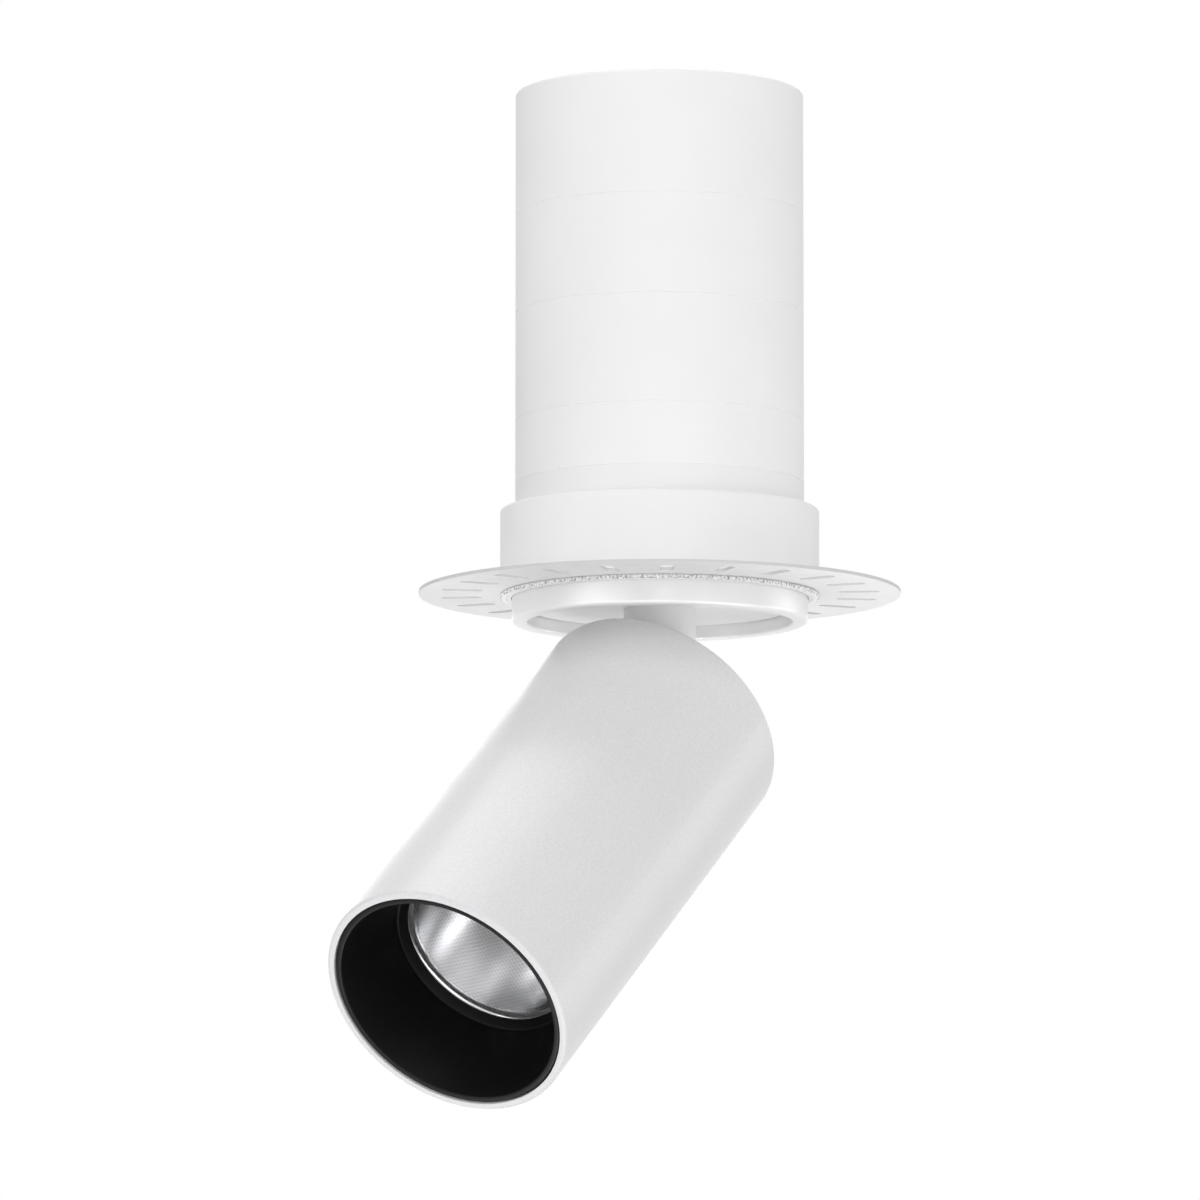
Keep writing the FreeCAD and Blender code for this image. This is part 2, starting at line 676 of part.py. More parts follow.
def cap_grommet():
    """A short rubber tube that lines the lead's hole, with a lip on the rear face."""
    bore = LEAD_HOLE_R / 2
    lip = LEAD_HOLE_R + GROMMET_LIP / 2
    top = REAR + GROMMET_LIP / 2
    tube = turned([(bore, CAP_LOW), (LEAD_HOLE_R, CAP_LOW), (LEAD_HOLE_R, REAR), (lip, REAR),
                   (lip, top, GROMMET_LIP / 4), (bore, top)])
    tube.translate(V(0, LEAD_HOLE_OFFSET, 0))
    return hung(tube)


def cap_screws():
    tip = CAP_LOW - CAP_SCREW_BITE
    return group([hung(flush_screw(x, y, REAR, tip)) for x, y, _ in cap_screw_places()])


def pivot_pin():
    shank = along_x(PIVOT_R, -EAR_OUT - PIVOT_NUT_H - PIVOT_THREAD_PROUD, EAR_OUT)
    head = along_x(PIVOT_HEAD_R, EAR_OUT, EAR_OUT + PIVOT_HEAD_H)
    socket = hexagon(PIVOT_R * 1.25, 0, PIVOT_HEAD_H)
    socket.rotate(V(0, 0, 0), V(0, 1, 0), 90)
    socket.translate(V(EAR_OUT + PIVOT_HEAD_H / 3, 0, 0))
    return hung(cut(joined(shank, head), socket))


def pivot_nut():
    nut = cut(hexagon(PIVOT_NUT_AF, 0, PIVOT_NUT_H), hole(PIVOT_R + THREAD_GAP, 0, 0, 0, PIVOT_NUT_H))
    nut.rotate(V(0, 0, 0), V(0, 1, 0), -90)
    nut.translate(V(-EAR_OUT, 0, 0))
    return hung(nut)


def friction_washers():
    washers = []
    for side in (-1, 1):
        inner = side * (EAR_IN - WASHER_THICK)
        bore = along_x(PIVOT_R + THREAD_GAP, -HEAD_R, HEAD_R)
        washers.append(hung(cut(along_x(WASHER_R, inner, side * EAR_IN), bore)))
    return group(washers)


def grub_places():
    """Directions of the two grub screws: the head's underside and its far side."""
    return [V(0, 1, 0), V(-1, 0, 0)]


def grub_height():
    return SINK_LOW + SINK_BASE / 2


def grub_holes():
    height = V(0, 0, grub_height())
    floor = CORE_R - GRUB_BITE - THREAD_GAP
    outside = HEAD_R + OVERCUT
    return [rod(SCREW_R + THREAD_GAP, d * floor + height, d * outside + height) for d in grub_places()]


def head_tube():
    edge = min(TUBE_EDGE, TUBE_WALL / 2)
    shell = turned([(TUBE_BORE_R, MOUTH), (HEAD_R, MOUTH, edge), (HEAD_R, REAR, edge), (TUBE_BORE_R, REAR)])
    return hung(cut(shell, *grub_holes()))


def grub_screws():
    screws = []
    height = V(0, 0, grub_height())
    for direction in grub_places():
        outer = HEAD_R - GRUB_SINK
        body = rod(SCREW_R, direction * (CORE_R - GRUB_BITE), direction * outer)
        socket = hexagon(GRUB_SOCKET_AF, 0, 2 * GRUB_SOCKET_DEPTH)
        turn = FreeCAD.Rotation(V(0, 0, 1), direction)
        socket.Placement = FreeCAD.Placement(direction * (outer - GRUB_SOCKET_DEPTH), turn)
        screw = cut(body, socket)
        screw.translate(height)
        screws.append(hung(screw))
    return group(screws)


def heat_sink():
    """A round base that backs the light source, with a core, radial fins and screw bosses up to the cap."""
    base = ring(0, CORE_R, SINK_LOW, SINK_BASE_TOP)
    core = post(SINK_CORE_R, 0, 0, SINK_BASE_TOP, CAP_LOW)
    fins = []
    for _, _, angle in around(SINK_FIN_COUNT, CORE_R, 90 + 180 / SINK_FIN_COUNT):
        fin = block((SINK_CORE_R / 2, -SINK_FIN_THICK / 2, SINK_BASE_TOP),
                    (CORE_R - SINK_FIN_GAP, SINK_FIN_THICK / 2, CAP_LOW))
        fin.rotate(V(0, 0, 0), V(0, 0, 1), angle)
        fins.append(fin)
    bosses = [post(SINK_BOSS_R, x, y, SINK_BASE_TOP, CAP_LOW) for x, y, _ in cap_screw_places()]
    body = joined(base, core, *fins, *bosses)
    taps = [post(SCREW_R + THREAD_GAP, x, y, CAP_LOW - CAP_SCREW_BITE - THREAD_GAP, CAP_LOW + OVERCUT)
            for x, y, _ in cap_screw_places()]
    lead = hole(LEAD_HOLE_R, 0, LEAD_HOLE_OFFSET, SINK_LOW, CAP_LOW)
    holder_taps = [post(SCREW_R + THREAD_GAP, x, y, SINK_LOW - OVERCUT, SINK_BASE_TOP - TAP_FLOOR)
                   for x, y in holder_screw_places()]
    return hung(cut(body, lead, *taps, *holder_taps, *grub_holes()))


# Light source and optics

def thermal_pad():
    half = BOARD_SIDE / 2
    return hung(block((-half, -half, SINK_LOW - PAD_THICK), (half, half, SINK_LOW)))


def led_board():
    half = BOARD_SIDE / 2
    top = SINK_LOW - PAD_THICK
    return hung(block((-half, -half, top - BOARD_THICK), (half, half, top)))


def led_emitter():
    top = SINK_LOW - PAD_THICK - BOARD_THICK
    return hung(post(EMITTER_R, 0, 0, top - EMITTER_THICK, top))


def holder_screw_places():
    return [(HOLDER_SCREW_CIRCLE, 0), (-HOLDER_SCREW_CIRCLE, 0)]


def led_holder():
    """A white ring that clamps the light source to the heat sink and centres the reflector."""
    half = BOARD_SIDE / 2 + BOARD_FIT
    pocket_low = SINK_LOW - PAD_THICK - BOARD_THICK - BOARD_FIT
    body = ring(HOLDER_MOUTH_R, HOLDER_R, REFLECTOR_TOP, HOLDER_TOP)
    pocket = block((-half, -half, pocket_low), (half, half, HOLDER_TOP + OVERCUT))
    lead = hole(LEAD_HOLE_R, 0, LEAD_HOLE_OFFSET, REFLECTOR_TOP, HOLDER_TOP)
    holes = []
    for x, y in holder_screw_places():
        holes.append(hole(SCREW_R + SCREW_FIT, x, y, REFLECTOR_TOP, HOLDER_TOP))
        holes.append(post(SCREW_HEAD_R + SCREW_FIT, x, y, REFLECTOR_TOP - OVERCUT,
                          REFLECTOR_TOP + SCREW_HEAD_H))
    return hung(cut(body, pocket, lead, *holes))


def holder_screws():
    """The screws go in from the mouth side, so each is a pan screw turned over."""
    screws = []
    for x, y in holder_screw_places():
        screw = pan_screw(0, 0, 0, SCREW_HEAD_H - HOLDER_H - SINK_BASE / 2)
        screw.rotate(V(0, 0, 0), V(1, 0, 0), 180)
        screw.translate(V(x, y, REFLECTOR_TOP + SCREW_HEAD_H))
        screws.append(hung(screw))
    return group(screws)


def reflector():
    """A bright cup whose wall is one arc from throat to mouth, with a flange that carries the lens."""
    bulge = (REFLECTOR_MOUTH_R - REFLECTOR_THROAT_R) / 8
    middle_r = (REFLECTOR_MOUTH_R + REFLECTOR_THROAT_R) / 2 + bulge
    middle_z = (LENS_TOP + REFLECTOR_TOP) / 2 + bulge
    flange_top = LENS_TOP + REFLECTOR_FLANGE

    def wall(offset, low):
        throat = V(REFLECTOR_THROAT_R + offset, 0, REFLECTOR_TOP)
        middle = V(middle_r + offset, 0, middle_z)
        return Part.Arc(throat, middle, V(REFLECTOR_MOUTH_R + offset, 0, low)).toShape()

    inner = wall(0, LENS_TOP)
    outer = wall(REFLECTOR_WALL, flange_top)
    rim = [V(REFLECTOR_MOUTH_R, 0, LENS_TOP), V(LENS_R, 0, LENS_TOP), V(LENS_R, 0, flange_top),
           V(REFLECTOR_MOUTH_R + REFLECTOR_WALL, 0, flange_top)]
    throat = [V(REFLECTOR_THROAT_R + REFLECTOR_WALL, 0, REFLECTOR_TOP),
              V(REFLECTOR_THROAT_R, 0, REFLECTOR_TOP)]
    lines = [Part.makePolygon(rim), Part.makePolygon(throat)]
    edges = [inner, outer] + [e for line in lines for e in line.Edges]
    return hung(spun(Part.Wire(Part.__sortEdges__(edges))))


def lens():
    """A clear disc with a slightly domed front, which faces the mouth."""
    dome = Part.Arc(V(0, 0, LENS_LOW - LENS_DOME), V(BAFFLE_THROAT_R / 2, 0, LENS_LOW - LENS_DOME * 0.75),
                    V(BAFFLE_THROAT_R - SEAL_WIDTH / 2, 0, LENS_LOW)).toShape()
    edge = Part.makePolygon([V(BAFFLE_THROAT_R - SEAL_WIDTH / 2, 0, LENS_LOW), V(LENS_R, 0, LENS_LOW),
                             V(LENS_R, 0, LENS_TOP), V(0, 0, LENS_TOP), V(0, 0, LENS_LOW - LENS_DOME)])
    return hung(spun(Part.Wire([dome] + edge.Edges)))


def lens_seal():
    return hung(ring(LENS_R - SEAL_WIDTH, LENS_R, BAFFLE_SEAT, LENS_LOW))


def baffle():
    """A black cone from the mouth to the lens, with a groove for its O-ring and a skirt round the lens."""
    skirt_r = LENS_R + LENS_FIT
    skirt_out = skirt_r + BAFFLE_WALL
    groove_low = BAFFLE_FRONT + O_RING_DEPTH - O_RING_R - O_RING_GAP
    groove_top = BAFFLE_FRONT + O_RING_DEPTH + O_RING_R + O_RING_GAP
    groove_r = TUBE_BORE_R - 2 * O_RING_R - 2 * O_RING_GAP
    barrel_top = BAFFLE_FRONT + BAFFLE_BARREL
    skirt_top = BAFFLE_SEAT + BAFFLE_SKIRT
    return hung(turned([
        (BAFFLE_MOUTH_R, BAFFLE_FRONT), (CORE_R, BAFFLE_FRONT), (CORE_R, groove_low),
        (groove_r, groove_low), (groove_r, groove_top), (CORE_R, groove_top), (CORE_R, barrel_top),
        (skirt_out, BAFFLE_STEP), (skirt_out, skirt_top), (skirt_r, skirt_top), (skirt_r, BAFFLE_SEAT),
        (BAFFLE_THROAT_R, BAFFLE_SEAT), (BAFFLE_STEP_R, BAFFLE_STEP)]))


def baffle_o_ring():
    radius = TUBE_BORE_R - O_RING_GAP - O_RING_R
    return hung(Part.makeTorus(radius, O_RING_R, V(0, 0, BAFFLE_FRONT + O_RING_DEPTH)))


# Driver

def bracket_screw_places():
    x = BRACKET_X + BRACKET_THICK + FOOT_MARGIN + SCREW_HEAD_R
    return [(x, -BRACKET_SCREW_SPREAD / 2), (x, BRACKET_SCREW_SPREAD / 2)]


def driver_screw_heights():
    middle = (DRIVER_LOW + DRIVER_TOP) / 2
    return [middle - DRIVER_SCREW_SPREAD / 2, middle + DRIVER_SCREW_SPREAD / 2]


def driver_bracket():
    half = BRACKET_WIDTH / 2
    upright = block((BRACKET_X, -half, BULKHEAD_TOP),
                    (BRACKET_X + BRACKET_THICK, half, DRIVER_TOP - BRACKET_TOP_GAP))
    foot = block((BRACKET_X, -half, BULKHEAD_TOP), (FOOT_END_X, half, BULKHEAD_TOP + BRACKET_THICK))
    holes = [hole(SCREW_R + SCREW_FIT, x, y, BULKHEAD_TOP, BULKHEAD_TOP + BRACKET_THICK)
             for x, y in bracket_screw_places()]
    holes += [rod(SCREW_R + SCREW_FIT, V(0, 0, z), V(CAN_R, 0, z)) for z in driver_screw_heights()]
    return cut(joined(upright, foot), *holes)


def bracket_screws():
    seat = BULKHEAD_TOP + BRACKET_THICK
    return group([pan_screw(x, y, seat, LIP_TOP) for x, y in bracket_screw_places()])


def driver_block(inset, low, high):
    """A block with the driver's plan, drawn in by an inset; its right face lies on the bracket."""
    half_y = DRIVER_HALF_Y - inset
    return block((BRACKET_X - DRIVER_X + inset, -half_y, low), (BRACKET_X - inset, half_y, high))


def round_upright_edges(shape):
    upright = [e for e in shape.Edges if abs(e.tangentAt(e.FirstParameter).z) > 0.9]
    return shape.makeFillet(DRIVER_ROUND, upright)


def driver_case():
    holes = [rod(SCREW_R + THREAD_GAP, V(0, 0, z), V(CAN_R, 0, z)) for z in driver_screw_heights()]
    inside = driver_block(DRIVER_WALL, DRIVER_LOW + DRIVER_WALL, DRIVER_TOP + OVERCUT)
    return cut(round_upright_edges(driver_block(0, DRIVER_LOW, DRIVER_TOP)), inside, *holes)


def driver_lid():
    plate = round_upright_edges(driver_block(0, DRIVER_TOP, DRIVER_TOP + DRIVER_LID))
    return joined(plate, driver_block(DRIVER_WALL + DRIVER_FIT, DRIVER_TOP - DRIVER_LID, DRIVER_TOP))


def driver_board():
    half = DRIVER_HALF_Y - DRIVER_WALL - DRIVER_FIT
    x = BRACKET_X - DRIVER_X + DRIVER_BOARD_SHIFT
    return block((x, -half, DRIVER_LOW + DRIVER_WALL),
                 (x + DRIVER_BOARD_THICK, half, DRIVER_TOP - DRIVER_LID - DRIVER_BOARD_GAP))


def driver_screws():
    screws = []
    for z in driver_screw_heights():
        screw = pan_screw(0, 0, 0, -BRACKET_THICK - 2 * DRIVER_WALL)
        screw.rotate(V(0, 0, 0), V(0, 1, 0), 90)
        screw.translate(V(BRACKET_X + BRACKET_THICK, 0, z))
        screws.append(screw)
    return group(screws)


def pole_places():
    pitch = TERMINAL_Y / TERMINAL_POLES
    return [(k - (TERMINAL_POLES - 1) / 2) * pitch for k in range(TERMINAL_POLES)]


def terminal_block():
    low = DRIVER_TOP + DRIVER_LID
    left = DRIVER_MID_X - TERMINAL_X / 2
    right = DRIVER_MID_X + TERMINAL_X / 2
    body = block((left, -TERMINAL_Y / 2, low), (right, TERMINAL_Y / 2, low + TERMINAL_Z))
    tools = []
    for y in pole_places():
        z = low + TERMINAL_HOLE_RISE
        tools.append(rod(TERMINAL_HOLE_R, V(left - OVERCUT, y, z), V(right + OVERCUT, y, z)))
        tools.append(post(TERMINAL_SCREW_R + THREAD_GAP, DRIVER_MID_X, y, z, low + TERMINAL_Z + OVERCUT))
    return cut(body, *tools)


def terminal_screws():
    top = DRIVER_TOP + DRIVER_LID + TERMINAL_Z
    screws = []
    for y in pole_places():
        body = post(TERMINAL_SCREW_R, DRIVER_MID_X, y, top - TERMINAL_SCREW_BITE, top)
        slot = block((DRIVER_MID_X - TERMINAL_SCREW_R, y - SCREW_SLOT / 2, top - SCREW_SLOT),
                     (DRIVER_MID_X + TERMINAL_SCREW_R, y + SCREW_SLOT / 2, top + OVERCUT))
        screws.append(cut(body, slot))
    return group(screws)


PIECES = [
    plaster_flange, flange_ring_nut, plaster_collar, bezel_ring,
    can_base_section, can_lower_section, can_middle_section, can_upper_section, can_top_section,
    cable_grommet, tie_screws, bulkhead, bulkhead_screws, swivel_bush, thrust_washer, stop_peg,
    driver_bracket, bracket_screws, driver_case, driver_lid, driver_board, driver_screws,
    terminal_block, terminal_screws,
    spindle, spindle_nuts, disc_spring, stop_tab, swivel_disc, swivel_stem,
    rear_cap, cap_grommet, cap_screws, pivot_pin, pivot_nut, friction_washers, head_tube, grub_screws,
    heat_sink, thermal_pad, led_board, led_emitter, led_holder, holder_screws,
    reflector, lens, lens_seal, baffle, baffle_o_ring,
]

os.makedirs("parts", exist_ok=True)
for piece in PIECES:
    shape = piece()
    if not shape.isValid():
        raise ValueError(piece.__name__ + " is not a valid solid")
    shape.exportStep(os.path.join("parts", piece.__name__ + ".step"))
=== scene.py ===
"""Plaster-in recessed spotlight: the finish of every piece, a plain studio and the camera.

Metres, in the CAD model's own frame: +Z up, the origin on the can's axis at the upper face of the
plaster flange, the lamp head at its rest pose.
"""

import json
import math

import bmesh
import bpy
from mathutils import Matrix, Vector


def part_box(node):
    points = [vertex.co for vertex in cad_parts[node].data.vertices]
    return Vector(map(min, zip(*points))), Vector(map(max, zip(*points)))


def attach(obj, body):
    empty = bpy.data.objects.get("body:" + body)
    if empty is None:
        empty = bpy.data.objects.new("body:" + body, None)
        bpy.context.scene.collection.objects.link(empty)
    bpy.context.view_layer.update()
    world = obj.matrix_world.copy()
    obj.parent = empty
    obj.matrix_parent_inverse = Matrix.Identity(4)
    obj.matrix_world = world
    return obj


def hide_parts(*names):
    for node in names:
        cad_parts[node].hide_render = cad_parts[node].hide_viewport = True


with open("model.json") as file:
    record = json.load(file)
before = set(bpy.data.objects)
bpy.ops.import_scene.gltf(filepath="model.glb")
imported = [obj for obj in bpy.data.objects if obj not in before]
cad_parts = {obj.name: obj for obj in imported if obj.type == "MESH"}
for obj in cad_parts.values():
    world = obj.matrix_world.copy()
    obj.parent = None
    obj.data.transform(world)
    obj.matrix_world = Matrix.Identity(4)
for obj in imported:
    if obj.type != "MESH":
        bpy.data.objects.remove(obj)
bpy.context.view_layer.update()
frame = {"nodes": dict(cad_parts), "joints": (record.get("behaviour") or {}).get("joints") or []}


# Plaster flange
# A thin pressed plate of white-primed steel with a ring of radial slots. It is screwed flat to the
# underside of the ceiling board and then filled over.

def finish_of(name):
    """A new finish: its material, node tree, shader and the piece's own coordinates."""
    material = bpy.data.materials.new(name)
    material.use_nodes = True
    tree = material.node_tree
    shader = tree.nodes["Principled BSDF"]
    place = tree.nodes.new("ShaderNodeTexCoord").outputs["Object"]
    return material, tree, shader, place


def grain(tree, place, per_metre, detail=2.0):
    """Uneven spots, so many to the metre, as a value round one half."""
    noise = tree.nodes.new("ShaderNodeTexNoise")
    noise.inputs["Scale"].default_value = per_metre
    noise.inputs["Detail"].default_value = detail
    tree.links.new(place, noise.inputs["Vector"])
    return noise.outputs["Fac"]


def spread(tree, value, socket, low, high, start=0.3, end=0.7):
    """Sends a socket a number that goes from low to high as a value goes from start to end."""
    reach = tree.nodes.new("ShaderNodeMapRange")
    reach.inputs["From Min"].default_value = start
    reach.inputs["From Max"].default_value = end
    reach.inputs["To Min"].default_value = low
    reach.inputs["To Max"].default_value = high
    tree.links.new(value, reach.inputs["Value"])
    tree.links.new(reach.outputs["Result"], socket)


def tint(tree, value, socket, low, high, start=0.3, end=0.7):
    """Sends a socket a colour that goes from low to high as a value goes from start to end."""
    blend = tree.nodes.new("ShaderNodeMix")
    blend.data_type = "RGBA"
    blend.inputs["A"].default_value = (*low, 1)
    blend.inputs["B"].default_value = (*high, 1)
    spread(tree, value, blend.inputs["Factor"], 0, 1, start, end)
    tree.links.new(blend.outputs["Result"], socket)


def relief(tree, value, socket, depth):
    """Raises the surface by a value times a depth in metres."""
    bump = tree.nodes.new("ShaderNodeBump")
    bump.inputs["Distance"].default_value = depth
    tree.links.new(value, bump.inputs["Height"])
    tree.links.new(bump.outputs["Normal"], socket)


def dress(material, *names):
    """Gives CAD nodes a finish in place of the plain one that they come with."""
    for name in names:
        frame["nodes"][name].data.materials[0] = material


def punched_primer():
    """White primer on both faces, and grey on the punched edges: bare steel there, and painted shade on the
    edge walls.
    """
    bare_edge_and_shade_grey = (0.66, 0.66, 0.67, 1)
    primer_thickness = 0.00003
    flange_low, flange_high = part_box("plaster_flange")
    material, tree, shader, place = finish_of("punched_primer")
    height = tree.nodes.new("ShaderNodeSeparateXYZ")
    tree.links.new(place, height.inputs["Vector"])
    # Edge walls get the grey: bare punched steel, and painted shade for the thin dark outlines of the slots
    # and rims.
    on_edge = tree.nodes.new("ShaderNodeMath")
    on_edge.operation = "COMPARE"
    tree.links.new(height.outputs["Z"], on_edge.inputs[0])
    on_edge.inputs[1].default_value = (flange_low.z + flange_high.z) / 2
    on_edge.inputs[2].default_value = (flange_high.z - flange_low.z) / 2 - primer_thickness
    paint = tree.nodes.new("ShaderNodeMix")
    paint.data_type = "RGBA"
    tint(tree, grain(tree, place, per_metre=60, detail=3), paint.inputs["A"],
         low=(0.89, 0.89, 0.89), high=(0.92, 0.92, 0.92))
    paint.inputs["B"].default_value = bare_edge_and_shade_grey
    tree.links.new(on_edge.outputs["Value"], paint.inputs["Factor"])
    tree.links.new(paint.outputs["Result"], shader.inputs["Base Color"])
    fine = grain(tree, place, per_metre=1500)
    spread(tree, fine, shader.inputs["Roughness"], low=0.5, high=0.62)
    relief(tree, fine, shader.inputs["Normal"], depth=0.000004)
    shader.inputs["Specular IOR Level"].default_value = 0.3
    return material


dress(punched_primer(), "plaster_flange")


# Flange ring nut
# A thin knurled steel ring, primed with the flange. It screws onto the collar's spigot and clamps the
# flange against the collar's foot.

nut_bore = 0.03565
nut_teeth = 240
tooth_depth = 0.00022
valley_shade_share = 0.45
nut_chamfer = 0.0002
undercut_height = 0.00025
undercut_depth = 0.0006

nut_low, nut_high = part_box("flange_ring_nut")
nut_r = nut_high.x
undercut_z = nut_high.z - undercut_height
undercut_r = nut_r - undercut_depth
nut_outline = [(nut_bore, nut_high.z), (nut_bore, nut_low.z), (nut_r - nut_chamfer, nut_low.z),
               (nut_r, nut_low.z + nut_chamfer), (nut_r, undercut_z), (undercut_r, undercut_z),
               (undercut_r, nut_high.z)]


def spun(outline, steps):
    """A closed outline of radius and height, turned once round the Z axis."""
    merge_gap = 1e-7
    mesh = bmesh.new()
    corners = [mesh.verts.new((radius, 0, height)) for radius, height in outline]
    sides = [mesh.edges.new(pair) for pair in zip(corners, corners[1:] + corners[:1])]
    bmesh.ops.spin(mesh, geom=corners + sides, cent=(0, 0, 0), axis=(0, 0, 1), angle=2 * math.pi,
                   steps=steps, use_merge=True)
    bmesh.ops.remove_doubles(mesh, verts=mesh.verts, dist=merge_gap)
    bmesh.ops.recalc_face_normals(mesh, faces=mesh.faces)
    return mesh


def piece_of(mesh, name, material, body, slot, *nodes):
    """Makes a mesh a piece that rides on a body, in a finish, in place of CAD nodes. The slot is not used.
    """
    sharp_from = math.radians(30)
    data = bpy.data.meshes.new(name)
    mesh.to_mesh(data)
    mesh.free()
    data.shade_smooth()
    data.set_sharp_from_angle(angle=sharp_from)
    data.materials.append(material)
    piece = bpy.data.objects.new(name, data)
    bpy.context.scene.collection.objects.link(piece)
    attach(piece, body)
    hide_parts(*nodes)


nut = spun(nut_outline, 2 * nut_teeth)
for corner in nut.verts:
    half_tooth = round(math.atan2(corner.co.y, corner.co.x) / math.pi * nut_teeth)
    if half_tooth % 2 and corner.co.xy.length > nut_r - 2 * nut_chamfer:
        corner.co.xy *= 1 - tooth_depth / nut_r


def knurled_primer():
    """Thin primer, speckled all over, with painted shade in some of the knurl's valleys."""
    material, tree, shader, place = finish_of("knurled_primer")
    flat = tree.nodes.new("ShaderNodeVectorMath")
    flat.operation = "MULTIPLY"
    flat.inputs[1].default_value = (1, 1, 0)
    tree.links.new(place, flat.inputs[0])
    radius = tree.nodes.new("ShaderNodeVectorMath")
    radius.operation = "LENGTH"
    tree.links.new(flat.outputs["Vector"], radius.inputs[0])
    # Painted shade: the knurl's valleys are painted darker, speckled, where shade falls between the teeth.
    valley_shade_mask = tree.nodes.new("ShaderNodeMath")
    valley_shade_mask.operation = "COMPARE"
    tree.links.new(radius.outputs["Value"], valley_shade_mask.inputs[0])
    valley_shade_mask.inputs[1].default_value = nut_r - tooth_depth
    valley_shade_mask.inputs[2].default_value = tooth_depth * valley_shade_share
    paint = tree.nodes.new("ShaderNodeMix")
    paint.data_type = "RGBA"
    speckle = grain(tree, place, per_metre=1600, detail=1)
    tint(tree, speckle, paint.inputs["A"], low=(0.74, 0.74, 0.74), high=(0.96, 0.96, 0.96),
         start=0.38, end=0.52)
    tint(tree, speckle, paint.inputs["B"], low=(0.36, 0.36, 0.36), high=(0.93, 0.93, 0.93),
         start=0.40, end=0.58)
    tree.links.new(valley_shade_mask.outputs["Value"], paint.inputs["Factor"])
    tree.links.new(paint.outputs["Result"], shader.inputs["Base Color"])
    spread(tree, grain(tree, place, per_metre=2500), shader.inputs["Roughness"], low=0.25, high=0.4)
    shader.inputs["Metallic"].default_value = 0.2
    return material


piece_of(nut, "knurled_ring_nut", knurled_primer(), "housing", "flange_steel", "flange_ring_nut")


# Collar and can
# The collar is a turned aluminium sleeve that stands in the ceiling cut-out. The can above it is a stack
# of lapped aluminium sleeves, drawn together by long tie screws. All are sprayed matt white.

def coating(name, dark, pale, rough, spots, depth, gloss, metal=0.0):
    """Sprayed paint: fine spots, so many to the metre, in roughness and relief, broad ones in colour."""
    rough_swing = 0.05
    fine_to_broad = 25
    material, tree, shader, place = finish_of(name)
    fine = grain(tree, place, spots)
    broad = grain(tree, place, spots / fine_to_broad)
    tint(tree, broad, shader.inputs["Base Color"], dark, pale)
    spread(tree, fine, shader.inputs["Roughness"], rough - rough_swing, rough + rough_swing)
    relief(tree, fine, shader.inputs["Normal"], depth)
    shader.inputs["Specular IOR Level"].default_value = gloss
    shader.inputs["Metallic"].default_value = metal
    return material


# The base sleeve is painted a little greyer than those above it: painted shade in the band just above the
# collar.
for finish, dark_grey, pale_grey, sleeves in (
        ("collar_white", 0.91, 0.93, ("plaster_collar",)),
        ("base_white_painted_shade", 0.89, 0.91, ("can_base_section",)),
        ("can_white", 0.915, 0.935, ("can_lower_section", "can_middle_section", "can_upper_section",
                                     "can_top_section"))):
    matt_white = coating(finish, (dark_grey, dark_grey, dark_grey), (pale_grey, pale_grey, pale_grey),
                         rough=0.7, spots=1200, depth=0.000006, gloss=0.2)
    dress(matt_white, *sleeves)


# Screws, nuts, bracket and spindle
# Zinc-plated steel: bought screws and nuts, a bent strip bracket, and the turned spindle with its spring
# and stops. The plating is faintly cloudy and a little blue.

def plated_steel():
    material, tree, shader, place = finish_of("plated_steel")
    cloud = grain(tree, place, per_metre=220, detail=4)
    tint(tree, cloud, shader.inputs["Base Color"], low=(0.50, 0.51, 0.54), high=(0.70, 0.71, 0.72))
    spread(tree, cloud, shader.inputs["Roughness"], low=0.24, high=0.42)
    relief(tree, grain(tree, place, per_metre=4000), shader.inputs["Normal"], depth=0.000004)
    shader.inputs["Metallic"].default_value = 1.0
    return material


dress(plated_steel(), "tie_screws", "bulkhead_screws", "bracket_screws", "driver_screws",
      "terminal_screws", "driver_bracket", "spindle", "spindle_nuts", "disc_spring", "stop_tab", "stop_peg",
      "cap_screws", "pivot_pin", "pivot_nut", "grub_screws", "holder_screws")


# Bulkhead, heat sink and light-source board
# Bare machined aluminium: the plate that closes the can and carries the swivel bearing, the finned sink
# pressed into the head, and the light source's metal-core board. Fine tool lines run round them.

def turned_aluminium():
    material, tree, shader, place = finish_of("turned_aluminium")
    lines = tree.nodes.new("ShaderNodeTexWave")
    lines.wave_type = "RINGS"
    lines.rings_direction = "Z"
    lines.inputs["Scale"].default_value = 900
    lines.inputs["Distortion"].default_value = 0.6
    tree.links.new(place, lines.inputs["Vector"])
    cloud = grain(tree, place, per_metre=150, detail=3)
    tint(tree, cloud, shader.inputs["Base Color"], low=(0.62, 0.62, 0.63), high=(0.76, 0.76, 0.77))
    spread(tree, lines.outputs["Fac"], shader.inputs["Roughness"], low=0.28, high=0.42, start=0, end=1)
    relief(tree, lines.outputs["Fac"], shader.inputs["Normal"], depth=0.000006)
    shader.inputs["Metallic"].default_value = 1.0
    return material


dress(turned_aluminium(), "bulkhead", "heat_sink", "led_board")


# Bearing bush, washers and light-source holder
# Natural white nylon, moulded: the swivel's flanged bush and thrust washer, the knuckle's thin friction
# washers, and the holder that clamps the light source.

